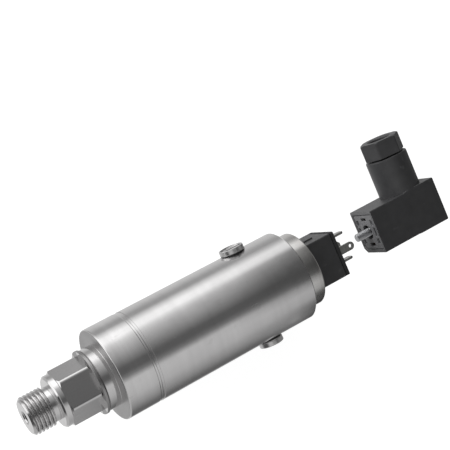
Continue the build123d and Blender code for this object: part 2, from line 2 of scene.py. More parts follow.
# # A pressure transmitter and the plug drawn off it
# The object is a stainless steel pressure transmitter: a threaded stub, a
# hexagon for the spanner, a long turned housing, two small screws that close
# the zero and span adjusters, and a square black header with four blades. The
# right-angle plug with its cable gland stands a little way behind the header.
# This lesson loads the measured solids as a fixed frame, sets the camera and the studio,
# mixes each finish, and then models what solids leave out: threads, moulded reliefs,
# slotted screws, board parts and softened edges. All lengths are metres.

# %% Load the frame
import math

import bmesh
import bpy
from mathutils import Matrix, Vector


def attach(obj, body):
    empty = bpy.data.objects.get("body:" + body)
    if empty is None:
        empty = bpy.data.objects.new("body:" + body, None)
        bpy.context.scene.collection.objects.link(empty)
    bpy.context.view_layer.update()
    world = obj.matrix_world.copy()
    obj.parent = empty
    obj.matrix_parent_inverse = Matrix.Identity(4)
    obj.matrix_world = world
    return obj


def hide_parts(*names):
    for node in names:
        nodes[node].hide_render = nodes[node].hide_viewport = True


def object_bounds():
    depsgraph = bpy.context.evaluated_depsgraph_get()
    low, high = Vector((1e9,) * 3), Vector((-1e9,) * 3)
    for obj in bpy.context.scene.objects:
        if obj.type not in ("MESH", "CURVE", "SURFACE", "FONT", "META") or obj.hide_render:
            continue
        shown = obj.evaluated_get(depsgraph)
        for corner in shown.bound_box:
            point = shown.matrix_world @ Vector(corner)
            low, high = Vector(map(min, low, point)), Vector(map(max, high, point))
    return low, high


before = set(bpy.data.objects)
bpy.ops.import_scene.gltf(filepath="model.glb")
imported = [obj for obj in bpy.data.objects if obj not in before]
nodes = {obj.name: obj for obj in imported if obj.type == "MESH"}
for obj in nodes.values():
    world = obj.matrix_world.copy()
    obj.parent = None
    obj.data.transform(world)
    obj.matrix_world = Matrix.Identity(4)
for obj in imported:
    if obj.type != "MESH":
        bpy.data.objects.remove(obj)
cad_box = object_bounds()
mm = 0.001
print("box in mm:", [round(v / mm, 2) for corner in cad_box for v in corner])

# %% [markdown]
# ## Camera
# The photograph looks down on the transmitter from its pressure side with a
# fairly long lens, so near and far ends differ little in size. The place and
# turn of the camera were fitted to the ends, shoulders and centre line of the
# object, and they are given here as plain numbers.

# %% Camera
def add_object(name, data):
    """Puts a new object with the given data into the scene."""
    thing = bpy.data.objects.new(name, data)
    bpy.context.scene.collection.objects.link(thing)
    return thing


camera = add_object("photo_camera", bpy.data.cameras.new("photo_camera"))
camera.data.lens = 103.635
camera.data.sensor_width = 36
camera.data.clip_start = 0.01
camera.data.clip_end = 20
camera.location = (-0.087968, 0.089518, 0.394171)
camera.rotation_euler = [math.radians(a) for a in (1.8426, -24.1921, -25.6152)]
bpy.context.scene.camera = camera
bpy.context.scene.view_settings.view_transform = "Standard"
print("camera stands", round(camera.location.length, 3), "m from the sealing face")

# %% [markdown]
# ## Two small tools for node trees
# A material, a world and a Geometry Nodes tree are all node trees. One function
# adds a node, sets its properties, and fills its inputs with values or links. A node
# given as an input stands for its first output, so a chain reads from top to bottom.
# Another turns the hex colours that a maker writes, which are sRGB, into the
# linear numbers that Blender calculates with.


# %% Node and colour tools
def add_node(tree, kind, inputs=(), **settings):
    """Adds a node. Its inputs are a list in their own order, or a dict by name or number."""
    node = tree.nodes.new(kind)
    for name, value in settings.items():
        setattr(node, name, value)
    for key, value in inputs.items() if isinstance(inputs, dict) else enumerate(inputs):
        source = value.outputs[0] if isinstance(value, bpy.types.Node) else value
        if isinstance(source, bpy.types.NodeSocket):
            tree.links.new(source, node.inputs[key])
        else:
            node.inputs[key].default_value = source
    return node


def colour(hex_code):
    """The linear colour of an sRGB hex code."""
    parts = [int(hex_code[i : i + 2], 16) / 255 for i in (1, 3, 5)]
    return (*[c / 12.92 if c <= 0.04045 else ((c + 0.055) / 1.055) ** 2.4 for c in parts], 1.0)


print("mid grey in linear light:", round(colour("#808080")[0], 3))

# %% [markdown]
# ## Studio light
# Bare metal has hardly any colour of its own: it shows the room. The photographer
# ringed the body with a long soft box, a grey card and dark cloth, all in line
# with its axis. The world is painted the same way. Each direction is turned into
# an angle round the body's long axis, and a colour ramp names what stands at that
# angle. The cards are not the same all along, so there are four such rings: beside
# the fitting, the body, its rear end and the plug. In front of the stub stands a
# plain grey card, which the end faces show, with a dark gap in it and a second soft
# box beside it, which the chamfers and the thread's flanks show. The camera sees
# plain white instead.

# %% World
world = bpy.data.worlds.new("studio")
bpy.context.scene.world = world
world.use_nodes = True
studio = world.node_tree
studio.nodes.clear()

# Angle round the body's axis in degrees, 0 above and 90 on the zero screw's side,
# and the brightness of what stands there, with a white card as 1.
brightest = 1.7
beside_the_fitting = (
    (-180, 0.9), (-150, 0.85), (-138, 0.58), (-126, 0.5), (-112, 0.5), (-100, 0.5), (-86, 0.54),
    (-66, 0.64), (-48, 0.67), (-29, 0.62), (-17, 0.42), (-6, 0.125), (8, 0.125), (20, 0.23), (44, 0.48),
    (56, 0.7), (65, 1.3), (73, 1.7), (97, 1.7), (106, 1.2), (116, 0.6), (128, 0.4), (140, 0.46),
    (152, 0.62), (180, 0.8),
)
beside_the_body = (
    (-180, 0.95), (-153, 0.75), (-142, 0.16), (-127, 0.15), (-115, 0.2), (-91, 0.4), (-66, 0.6),
    (-42, 0.68), (-27, 0.7), (-15, 0.25), (-5, 0.14), (8, 0.14), (20, 0.27), (32, 0.41), (54, 0.68),
    (66, 0.9), (79, 1.38), (92, 1.38), (105, 0.9), (116, 0.46), (127, 0.46), (140, 0.64), (153, 0.72),
    (165, 0.72), (180, 0.72),
)
over_the_rear = (
    (-18, 0.12), (-5, 0.09), (8, 0.08), (32, 0.1), (54, 0.2), (66, 0.28), (78, 1.0), (93, 1.1),
    (106, 0.66), (117, 0.44), (129, 0.54), (141, 0.7), (153, 0.72), (180, 0.7),
)
beside_the_rear = (
    (-180, 0.9), (-160, 0.7), (-149, 0.2), (-132, 0.25), (-115, 0.42), (-91, 0.5), (-66, 0.56),
    (-46, 0.6), (-34, 0.42), *over_the_rear,
)
beside_the_plug = (
    (-180, 0.9), (-160, 0.4), (-150, 0.04), (-100, 0.04), (-84, 0.12), (-66, 0.45), (-46, 0.54),
    (-34, 0.4), *over_the_rear,
)
direction = add_node(studio, "ShaderNodeTexCoord").outputs["Generated"]
lengthwise, sideways, upward = add_node(studio, "ShaderNodeSeparateXYZ", [direction]).outputs
turn = add_node(studio, "ShaderNodeMath", [sideways, upward], operation="ARCTAN2")
turn = add_node(studio, "ShaderNodeMapRange", [turn, -math.pi, math.pi])


def grey(level):
    return (level / brightest,) * 3 + (1,)


def ring_of_light(levels):
    """A colour ramp round the body's axis. All stops get their places before any colour."""
    ring = add_node(studio, "ShaderNodeValToRGB", [turn])
    stops = ring.color_ramp.elements
    while len(stops) < len(levels):
        stops.new(0.5)
    for stop, (angle, _) in zip(stops, levels):
        stop.position = (angle + 180) / 360
    for stop, (_, level) in zip(stops, levels):
        stop.color = grey(level)
    return ring


def step_to(measure, low, high, first, second):
    """Goes from the first light to the second as a measure goes from low to high."""
    share = add_node(studio, "ShaderNodeMapRange", [measure, low, high])
    return add_node(studio, "ShaderNodeMix", {0: share, 6: first, 7: second}, data_type="RGBA").outputs[2]


# A ray that leaves the body keeps its slant along the axis, so the slant tells the rings apart.
room_light = ring_of_light(beside_the_fitting)
for low, high, ring in (
    (0.225, 0.245, beside_the_body),
    (0.375, 0.392, beside_the_rear),
    (0.402, 0.407, beside_the_plug),
):
    room_light = step_to(lengthwise, low, high, room_light, ring_of_light(ring))
for low, high, level in ((-0.12, -0.38, 0.6), (0.6, 0.8, 0.25)):
    room_light = step_to(lengthwise, low, high, room_light, grey(level))
for middle, low, high, level in (
    ((-0.95, -0.15, 0.08), 0.8, 0.92, 0.08),
    ((-0.77, 0.636, -0.05), 0.84, 0.9, 1.45),
):
    middle = Vector(middle).normalized()
    nearness = add_node(studio, "ShaderNodeVectorMath", [direction, middle], operation="DOT_PRODUCT")
    room_light = step_to(nearness.outputs["Value"], low, high, room_light, grey(level))

ray = add_node(studio, "ShaderNodeLightPath").outputs
seen = [ray["Is Camera Ray"], ray["Is Transmission Ray"]]
seen = add_node(studio, "ShaderNodeMath", seen, operation="MAXIMUM")
room = add_node(studio, "ShaderNodeBackground", [room_light, brightest])
white = add_node(studio, "ShaderNodeBackground", [(1, 1, 1, 1), 1.0])
shown = add_node(studio, "ShaderNodeMixShader", [seen, room, white])
add_node(studio, "ShaderNodeOutputWorld", [shown])
print("the room is painted with", len(studio.nodes), "nodes, the brightest card", brightest)

# %% [markdown]
# Two lamps shape the black mouldings. A wide soft box high on the gland side lights
# their tops, and one off the pressure side lights the faces turned toward the stub.
# The large faces turned to the camera stay dark. The metal mirrors neither lamp,
# because its cards are painted on the world already.


# %% Lamps
def soft_box(name, place, target, width, height, power):
    """Hangs a rectangular lamp at a place and aims it at a target."""
    holder = add_object(name, bpy.data.lights.new(name, "AREA"))
    holder.data.shape = "RECTANGLE"
    holder.data.size, holder.data.size_y = width, height
    holder.data.energy = power
    holder.location = place
    holder.rotation_euler = (Vector(target) - Vector(place)).to_track_quat("-Z", "Y").to_euler()
    holder.visible_glossy = False


soft_box("gland_side_box", (0.02, 0.75, 0.12), (0.1, 0.0, 0.0), 0.6, 0.3, 7.0)
soft_box("pressure_side_box", (-0.45, 0.3, 0.02), (0.14, 0.01, 0.0), 0.3, 0.2, 6.0)
print("soft boxes placed")

# %% [markdown]
# The floor is a white table top. Light Path lets it glow white where a camera ray meets
# it, and the plain white surface under that glow keeps a faint shadow where the housing
# touches the table. The metal doesn't mirror it, for the same reason as the lamps.

# %% Floor
table_gap = 0.05 * mm
bpy.ops.mesh.primitive_plane_add(size=3.0, location=(0.07, 0, cad_box[0].z - table_gap))
floor = bpy.context.object
floor.name = "table_top"
table_white = bpy.data.materials.new("white_table")
table_white.use_nodes = True
tree = table_white.node_tree
tree.nodes.clear()
ray = add_node(tree, "ShaderNodeLightPath").outputs
seen = add_node(tree, "ShaderNodeMath", [ray["Is Camera Ray"], ray["Is Glossy Ray"]], operation="MAXIMUM")
seen = add_node(tree, "ShaderNodeMath", [seen, ray["Is Transmission Ray"]], operation="MAXIMUM")
glow = add_node(tree, "ShaderNodeMath", [seen, 0.86], operation="MULTIPLY")
plain = add_node(tree, "ShaderNodeBsdfDiffuse", [(0.4, 0.4, 0.4, 1)])
light = add_node(tree, "ShaderNodeEmission", [(1, 1, 1, 1), glow])
both = add_node(tree, "ShaderNodeAddShader", [plain, light])
add_node(tree, "ShaderNodeOutputMaterial", [both])
floor.data.materials.append(table_white)
floor.visible_glossy = False
print("table top at z =", round(floor.location.z / mm, 2), "mm")

# %% [markdown]
# ## Finishes
# Every finish here starts the same way: a Principled shader, Object coordinates in
# metres, one or two noise patterns whose scale comes from a real size, and a bump
# for what a fingertip would feel. `noise` takes the size of one grain in
# millimetres for each axis, so a long thin grain is just a size with one long side.
# `tinted` lets a pattern shift the colour, and `textured` hands colour, roughness and
# bump to the shader.


# %% Finish tools
usual = (0.3, 0.7)  # nearly all of a noise pattern lies between these


def start_finish(name, base, roughness, metallic=0.0, ior=1.5):
    """A new material with one shader, whose even values are set on its own inputs."""
    finish = bpy.data.materials.new(name)
    finish.use_nodes = True
    tree = finish.node_tree
    tree.nodes.clear()
    even = {"Base Color": colour(base), "Roughness": roughness, "Metallic": metallic, "IOR": ior}
    shader = add_node(tree, "ShaderNodeBsdfPrincipled", even)
    add_node(tree, "ShaderNodeOutputMaterial", [shader])
    return finish, tree, shader


def noise(tree, grain, detail=2.0, offset=0.0):
    """A cloudy pattern whose grains measure the given millimetres along X, Y and Z."""
    where = add_node(tree, "ShaderNodeTexCoord").outputs["Object"]
    sizes = [1 / (g * mm) for g in grain]
    spread = add_node(tree, "ShaderNodeMapping", {"Vector": where, "Scale": sizes, "Location": (offset,) * 3})
    return add_node(tree, "ShaderNodeTexNoise", {"Vector": spread, "Scale": 1.0, "Detail": detail})


def tinted(tree, tone, pattern, hex_code, low=usual[0], high=usual[1], most=1.0):
    """Shifts a tone toward a colour where a pattern rises from low to high."""
    share = add_node(tree, "ShaderNodeMapRange", [pattern, low, high, 0, most])
    mix = {0: share, 6: tone, 7: colour(hex_code)}
    return add_node(tree, "ShaderNodeMix", mix, data_type="RGBA").outputs[2]


def textured(tree, shader, tone, dullness, relief, depth):
    """Links a tone, a roughness and a relief of the given depth in mm to the shader."""
    bump = add_node(tree, "ShaderNodeBump", {"Height": relief, "Distance": depth * mm, "Strength": 1.0})
    tree.links.new(tone, shader.inputs["Base Color"])
    tree.links.new(bump.outputs[0], shader.inputs["Normal"])
    if dullness is not None:
        tree.links.new(dullness.outputs[0], shader.inputs["Roughness"])


print("finish tools ready")

# %% [markdown]
# ### Turned stainless steel
# The housing is 316 stainless, turned on a lathe and then polished with fine paper.
# The tool leaves rings round the axis, about 0.1 mm apart, too fine to show at this
# size, so they are drawn 0.3 mm apart and very shallow. They smear each reflection
# along the axis and leave it sharp round the body, which is why the bands of light
# run the whole length. A broader pattern shades the tone a little from ring to ring.
# A few cloudy marks are where hands have held it, greyer spots are where water has
# dried, and thin rough scratches along the housing are where it has been pushed
# through brackets. The end cap has a warmer tone and a coarser turned face.


# %% Turned stainless
def turned_steel(name, base, darker, roughness, ring_mm, ring_depth):
    finish, tree, shader = start_finish(name, base, roughness, metallic=1.0)
    rings = noise(tree, (ring_mm, 60, 60), detail=3)
    bands = noise(tree, (2.8, 45, 45), detail=1, offset=3)
    clouds = noise(tree, (9, 7, 7), detail=3, offset=7)
    water_spots = noise(tree, (3.5, 2.5, 2.5), detail=3, offset=5)
    scratches = noise(tree, (7, 0.15, 2.5), detail=1, offset=11)
    tone = tinted(tree, colour(base), bands, darker)
    tone = tinted(tree, tone, clouds, darker, 0.5, 0.8, most=0.4)
    tone = tinted(tree, tone, water_spots, "#b4b2b1", 0.64, 0.8, most=0.3)
    dullness = add_node(tree, "ShaderNodeMapRange", [clouds, *usual, roughness - 0.02, roughness + 0.05])
    scratched = add_node(tree, "ShaderNodeMapRange", [scratches, 0.68, 0.74])
    dullness = add_node(tree, "ShaderNodeMath", [scratched, 0.1, dullness], operation="MULTIPLY_ADD")
    textured(tree, shader, tone, dullness, rings, ring_depth)
    return finish


housing_steel = turned_steel("turned_316_steel", "#d4d3d3", "#cfcece", 0.13, 0.3, 0.0008)
cap_steel = turned_steel("coarse_turned_steel", "#d2d1cf", "#c4c2c0", 0.12, 0.6, 0.003)
fitting_steel = turned_steel("fine_turned_steel", "#d9d8d8", "#cfcece", 0.09, 0.2, 0.0004)
# Painted shade: this finish's darker grey dims the reflection of the front card on the fitting's rim and
# front face. Its rougher turned face is real.
shade_painted_faced_steel = turned_steel("coarse_faced_steel_painted_shade", "#abaaaa", "#9c9b9b", 0.3, 0.4, 0.002)
# Painted shade: the slot floor's dark grey stands in for the shade inside the slot. Its roughness is the real
# sawn surface.
slot_floor_painted_shade = turned_steel("sawn_slot_steel_painted_shade", "#8f8e8e", "#7b7a7a", 0.45, 0.2, 0.002)
screw_finish = turned_steel("machined_screw_steel", "#dddcdc", "#d0cfcf", 0.22, 0.25, 0.0004)
plated_finish = turned_steel("zinc_plated_steel", "#cdced0", "#b9babc", 0.34, 0.3, 0.001)
print("turned finishes:", housing_steel.name, fitting_steel.name, shade_painted_faced_steel.name, screw_finish.name)

# %% [markdown]
# ### Milled flats
# The six flats of the hexagon are the drawn bar's own faces: dull, with a faint
# grain along the bar instead of rings round it.

# %% Milled steel
bar_steel, tree, shader = start_finish("drawn_bar_steel", "#c8c8c7", 0.22, metallic=1.0)
bar_grain = noise(tree, (6, 0.4, 0.4), detail=3)
tone = tinted(tree, colour("#cfcece"), bar_grain, "#c8c7c7")
dullness = add_node(tree, "ShaderNodeMapRange", [bar_grain, *usual, 0.19, 0.23])
textured(tree, shader, tone, dullness, bar_grain, 0.0003)
print("drawn bar finish:", bar_steel.name)

# %% [markdown]
# ### Black mouldings
# The header, plug housing and gland nut are black polyamide with glass fibre. The
# mould is spark-eroded, which gives a fine matt grain of about 0.15 mm, drawn here at
# 0.3 mm, and the glass shows as a slight grey cast. Handling leaves thin paler scuffs.
# The contact carrier is a greyer grade, and the plug mouth's faces toward the stub are a paler black, a
# painted highlight.


# %% Black polyamide
def moulded(name, base, lighter, scuffed, roughness, grain_mm, depth):
    finish, tree, shader = start_finish(name, base, roughness, ior=1.53)
    cast = noise(tree, (3.5, 3.5, 3.5), detail=3, offset=2)
    grit = noise(tree, (grain_mm,) * 3, detail=2)
    scuffs = noise(tree, (4, 3, 0.2), detail=2, offset=9)
    tone = tinted(tree, colour(base), cast, lighter)
    tone = tinted(tree, tone, scuffs, scuffed, 0.66, 0.76, most=0.6)
    dullness = add_node(tree, "ShaderNodeMapRange", [grit, *usual, roughness - 0.06, roughness + 0.08])
    textured(tree, shader, tone, dullness, grit, depth)
    return finish


black_polyamide = moulded("black_polyamide", "#262627", "#2d2d2e", "#3d3d3e", 0.44, 0.3, 0.008)
carrier_polyamide = moulded("grey_black_polyamide", "#525254", "#5c5c5d", "#6a6a6b", 0.46, 0.3, 0.008)
# Painted highlight: a paler black for the plug mouth's faces that are turned toward the pressure-side lamp.
mouth_face_painted_highlight = moulded("black_polyamide_painted_highlight", "#444445", "#505051", "#626263", 0.5, 0.3, 0.006)
seal_rubber = moulded("black_seal_rubber", "#161617", "#1f1f20", "#2a2a2a", 0.7, 0.2, 0.01)
trimmer_plastic = moulded("blue_trimmer_plastic", "#23518f", "#2c60a3", "#3f72b0", 0.4, 0.3, 0.01)
chip_plastic = moulded("chip_epoxy", "#1b1b1c", "#242425", "#333334", 0.55, 0.15, 0.01)
lead_plastic = moulded("lead_insulation", "#8e2320", "#9d2b26", "#ad4038", 0.42, 0.4, 0.006)
print("mouldings:", black_polyamide.name, carrier_polyamide.name, seal_rubber.name)

# %% [markdown]
# ### Contact metals
# The blades are brass with a tin plate, the bushes and contacts are plain brass, and
# the sensor's pins are gold plated. Each is a metal with a soft stain in its colour
# and fine drawing lines in its bump.


# %% Contact metals
def plated(name, base, stain, roughness, line_mm):
    finish, tree, shader = start_finish(name, base, roughness, metallic=1.0)
    patches = noise(tree, (1.6, 1.6, 1.6), detail=4, offset=5)
    lines = noise(tree, line_mm, detail=2)
    tone = tinted(tree, colour(base), patches, stain)
    dullness = add_node(tree, "ShaderNodeMapRange", [patches, *usual, roughness - 0.05, roughness + 0.12])
    textured(tree, shader, tone, dullness, lines, 0.006)
    return finish


tinned_blade = plated("tin_plated_brass", "#b9b9b6", "#8f8f8b", 0.3, (4, 0.15, 0.15))
plain_brass = plated("turned_brass", "#cda75c", "#b08a43", 0.28, (0.2, 5, 5))
gold_pin = plated("gold_plate", "#e6c069", "#d2a84e", 0.2, (3, 0.2, 0.2))
print("contact metals:", tinned_blade.name, plain_brass.name, gold_pin.name)

# %% [markdown]
# ### Circuit board
# Glass-epoxy board under green solder resist: the weave of the glass, drawn here with
# a thread about every millimetre, shows faintly through the lacquer as a square bump.

# %% Circuit board
board_green, tree, shader = start_finish("green_solder_resist", "#1d5a38", 0.35)
where = add_node(tree, "ShaderNodeTexCoord").outputs["Object"]
weave_scale = 320.0  # a wave repeats every pi / 10 / scale metres
weave = [
    add_node(
        tree,
        "ShaderNodeTexWave",
        {"Vector": where, "Scale": weave_scale, "Distortion": 0.4},
        bands_direction=axis,
    ).outputs["Fac"]
    for axis in "XY"
]
cloth = add_node(tree, "ShaderNodeMath", weave, operation="MULTIPLY")
tone = tinted(tree, colour("#1d5a38"), noise(tree, (4, 4, 4), offset=1), "#2a6e48")
textured(tree, shader, tone, None, cloth, 0.01)
print("board finish:", board_green.name)

# %% [markdown]
# ## Finishes on the frame's own solids
# Solids whose shape is already right keep it and only get their finish. The table
# below reads like a parts list: finish, then the pieces that have it.

# %% Dress the solids
dress = {
    housing_steel: ["housing_tube", "process_fitting"],
    cap_steel: ["end_cap"],
    screw_finish: [
        "zero_screw", "span_screw", "centre_screw", "terminal_screws", "diaphragm", "clamp_ring",
        "sensor_cell", "header_ring_nut", "gland_washer",
    ],
    plain_brass: ["header_bush", "plug_contacts", "zero_rotor", "span_rotor"],
    gold_pin: ["sensor_pins"],
    tinned_blade: ["blade_1", "blade_2", "blade_3", "earth_blade"],
    lead_plastic: ["signal_wires"],
    board_green: ["front_board", "main_board"],
    chip_plastic: ["board_components"],
    trimmer_plastic: ["zero_trimmer", "span_trimmer"],
    black_polyamide: ["header_base", "plug_housing", "gland_nut"],
    carrier_polyamide: ["plug_insert"],
    seal_rubber: [
        "sensor_o_ring", "cap_o_ring", "header_gasket", "zero_screw_seal", "span_screw_seal",
        "centre_screw_seal", "gland_seal",
    ],
}
for finish, names in dress.items():
    for name in names:
        nodes[name].data.materials.clear()
        nodes[name].data.materials.append(finish)
undressed = set(nodes) - {name for names in dress.values() for name in names}
print("dressed", len(nodes) - len(undressed), "solids; left over:", sorted(undressed))

# %% [markdown]
# ## Trees that make shapes
# A Geometry Nodes tree works through a modifier. `new_tree` starts a tree with named
# inputs, and `reckon` runs a value through steps of arithmetic. `grow` hangs a tree on
# an empty mesh, fills its inputs, and takes the evaluated result as a plain mesh, so
# nothing live is left.


# %% Tree tools
def new_tree(name, output, inputs):
    """A Geometry Nodes tree with one output, and inputs given as a dict of name and kind."""
    tree = bpy.data.node_groups.new(name, "GeometryNodeTree")
    for input_name, kind in inputs.items():
        tree.interface.new_socket(input_name, in_out="INPUT", socket_type="NodeSocket" + kind)
    tree.interface.new_socket(output, in_out="OUTPUT", socket_type="NodeSocketGeometry")
    return tree, add_node(tree, "NodeGroupInput").outputs


def reckon(tree, value, *steps):
    """Runs a value through steps, each an operation and its further inputs."""
    for operation, *others in steps:
        value = add_node(tree, "ShaderNodeMath", [value, *others], operation=operation)
    return value


def end_tree(tree, geometry, finish):
    """Makes instances real, gives the finish, and closes the tree."""
    geometry = add_node(tree, "GeometryNodeRealizeInstances", [geometry])
    geometry = add_node(tree, "GeometryNodeSetMaterial", {"Geometry": geometry, "Material": finish})
    add_node(tree, "NodeGroupOutput", [geometry])


def grow(tree, values):
    """Runs a tree with a dict of input values and returns its result as a mesh."""
    holder = add_object("grown", bpy.data.meshes.new("grown"))
    modifier = holder.modifiers.new("tree", "NODES")
    modifier.node_group = tree
    for socket in tree.interface.items_tree:
        if socket.in_out == "INPUT":
            modifier[socket.identifier] = values[socket.name]
    bpy.context.view_layer.update()
    grown = holder.evaluated_get(bpy.context.evaluated_depsgraph_get())
    mesh = bpy.data.meshes.new_from_object(grown)
    bpy.data.objects.remove(holder)
    return mesh


print("tree tools ready")

# %% [markdown]
# ## Threads, by rule
# A screw thread is one ridge that climbs a cylinder by its pitch each turn. That is a
# rule and not a shape to draw, so Geometry Nodes make it: a flat grid is rolled into a
# tube, and the radius of each point follows from how far along and how far round it
# lies. The ridge's slopes are cut off flat at crest and root. Two longer slopes end
# the ridge itself, as the lathe's chamfer and run-out do.
# Sizes come in as named inputs, so the stub, the screws and the gland share one tree.

# %% The thread tree
thread_tree, given = new_tree("screw_thread", "Thread", {
    "Crest Radius": "Float", "Root Radius": "Float", "Pitch": "Float", "Start": "Float", "End": "Float",
    "Lead In": "Float", "Run Out": "Float", "Rows": "Int", "Rounds": "Int", "Finish": "Material",
})
root_share, crest_share = 0.06, 0.34  # where the slope starts and ends, as shares of the pitch
grid = {
    "Size X": 1.0,
    "Size Y": 1.0,
    "Vertices X": given["Rows"],
    "Vertices Y": reckon(thread_tree, given["Rounds"], ("ADD", 1)),
}
sheet = add_node(thread_tree, "GeometryNodeMeshGrid", grid)
flat = add_node(thread_tree, "GeometryNodeInputPosition")
flat = add_node(thread_tree, "ShaderNodeSeparateXYZ", [flat]).outputs
length = reckon(thread_tree, given["End"], ("SUBTRACT", given["Start"]))
along = reckon(thread_tree, flat["X"], ("ADD", 0.5), ("MULTIPLY_ADD", length, given["Start"]))
round_share = reckon(thread_tree, flat["Y"], ("ADD", 0.5))
ridge = reckon(
    thread_tree, along, ("DIVIDE", given["Pitch"]), ("SUBTRACT", round_share), ("PINGPONG", 0.5)
)
slope = [ridge, root_share, crest_share, given["Root Radius"], given["Crest Radius"]]
profile = add_node(thread_tree, "ShaderNodeMapRange", slope)
lead_in = reckon(
    thread_tree, along, ("SUBTRACT", given["Start"]), ("MULTIPLY_ADD", given["Lead In"], given["Root Radius"])
)
run_out = reckon(
    thread_tree, given["End"], ("SUBTRACT", along), ("MULTIPLY_ADD", given["Run Out"], given["Root Radius"])
)
radius = reckon(thread_tree, profile, ("MINIMUM", lead_in), ("MINIMUM", run_out))
angle = reckon(thread_tree, round_share, ("MULTIPLY", 2 * math.pi))
sideways = reckon(thread_tree, angle, ("COSINE",), ("MULTIPLY", radius))
upward = reckon(thread_tree, angle, ("SINE",), ("MULTIPLY", radius))
rolled = add_node(thread_tree, "ShaderNodeCombineXYZ", [along, sideways, upward])
tube = add_node(thread_tree, "GeometryNodeSetPosition", {"Geometry": sheet, "Position": rolled})
tube = add_node(thread_tree, "GeometryNodeFlipFaces", [tube])
tube = add_node(thread_tree, "GeometryNodeMergeByDistance", {"Geometry": tube, "Distance": 0.001 * mm})
end_tree(thread_tree, tube, given["Finish"])


def grow_thread(crest, root, pitch, start, end, run_out, rows, rounds, finish, finish_slot=0):
    """A thread round the X axis with its lengths in mm, and slopes of 45 degrees at its start.

    finish_slot is the place of its finish among those of the piece that it is welded to."""
    lengths = {"Crest Radius": crest, "Root Radius": root, "Pitch": pitch, "Start": start, "End": end}
    values = {name: length * mm for name, length in lengths.items()}
    values |= {"Lead In": 1.0, "Run Out": run_out, "Rows": rows, "Rounds": rounds, "Finish": finish}
    thread = grow(thread_tree, values)
    for face in thread.polygons:
        face.material_index = finish_slot
    return thread


print("thread tree has", len(thread_tree.nodes), "nodes")

# %% [markdown]
# ## Turning on a lathe
# Most of the transmitter is turned: a profile spun round an axis. `turned` takes the
# profile as rings, each a distance along the axis and a radius, and skins them. A ring
# may also give one distance and radius for every direction, which is how a hexagon
# gets its curved chamfers without a Boolean. `softened` rounds a profile's corners
# first, because a real lathe tool leaves no knife edges, and it is those narrow
# rounds that catch the light.

# %% Lathe tools
ROUNDS = 240
SMOOTH_ANGLE = math.radians(32)
MERGE = 0.0005 * mm


def softened(profile, radius):
    """Rounds each corner of a list of (along, radius) points with a three-point arc.

    A further point on each side keeps the faces beyond the arc truly flat."""
    soft = [profile[0]]
    for before, corner, after in zip(profile, profile[1:], profile[2:]):
        corner = Vector(corner)
        back, on = Vector(before) - corner, Vector(after) - corner
        reach = min(radius, 0.3 * back.length, 0.3 * on.length)
        back, on = back.normalized() * reach, on.normalized() * reach
        arc = (corner + back, corner + (back + on) / 4, corner + on)
        soft += [tuple(v) for v in (corner + back * 1.5, *arc, corner + on * 1.5)]
    return soft + [profile[-1]]


def turned(rings, rounds=ROUNDS):
    """Skins rings of (along, radius) in mm round the X axis into a bmesh."""
    shape = bmesh.new()
    turns = [2 * math.pi * i / rounds for i in range(rounds)]
    rows = []
    for ring in rings:
        spots = ring if isinstance(ring, list) else [ring] * rounds
        rows.append([
            shape.verts.new((x * mm, r * mm * math.cos(a), r * mm * math.sin(a)))
            for (x, r), a in zip(spots, turns)
        ])
    skin(shape, rows)
    return shape


def skin(shape, rows):
    """Fills the faces between rows of points that go round."""
    for low, high in zip(rows, rows[1:]):
        for i in range(len(low)):
            j = (i + 1) % len(low)
            shape.faces.new((low[i], low[j], high[j], high[i]))


def hexagon_rings(start, end, flats, end_radii, slope, corner_angle, corner_cut):
    """The four rings of a chamfered hexagon: end face, corner curve, and both again."""
    rings = [[], [], [], []]
    first, last = end_radii
    corner = flats / 2 / math.cos(math.radians(30))
    for i in range(ROUNDS):
        from_flat = (360 * i / ROUNDS - corner_angle) % 60 - 30
        r = min(flats / 2 / math.cos(math.radians(from_flat)), corner - corner_cut)
        rings[0].append((start, min(r, first)))
        rings[1].append((start + max(0.0, r - first) * slope, r))
        rings[2].append((end - max(0.0, r - last) * slope, r))
        rings[3].append((end, min(r, last)))
    return rings


def fill_ends(shape, edges):
    """Caps the open edges among those given."""
    bmesh.ops.holes_fill(shape, edges=[e for e in edges if e.is_boundary])


def smooth(mesh):
    """Shades a mesh smooth apart from its sharp corners."""
    mesh.shade_smooth()
    mesh.set_sharp_from_angle(angle=SMOOTH_ANGLE)


def finish_piece(name, shape, finishes):
    """Closes, smooths and links a bmesh as a piece at the origin."""
    bmesh.ops.remove_doubles(shape, verts=shape.verts, dist=MERGE)
    mesh = bpy.data.meshes.new(name)
    shape.to_mesh(mesh)
    shape.free()
    for finish in finishes:
        mesh.materials.append(finish)
    smooth(mesh)
    return add_object(name, mesh)


def stand_in(piece, body, slot_name, *solids):
    """Rides the piece on its body in place of the solids it stands for."""
    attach(piece, body)
    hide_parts(*solids)
    piece.data.calc_loop_triangles()
    print(piece.name, "stands for", ", ".join(solids), "with", len(piece.data.loop_triangles), "triangles")


print("a full turn has", ROUNDS, "steps")
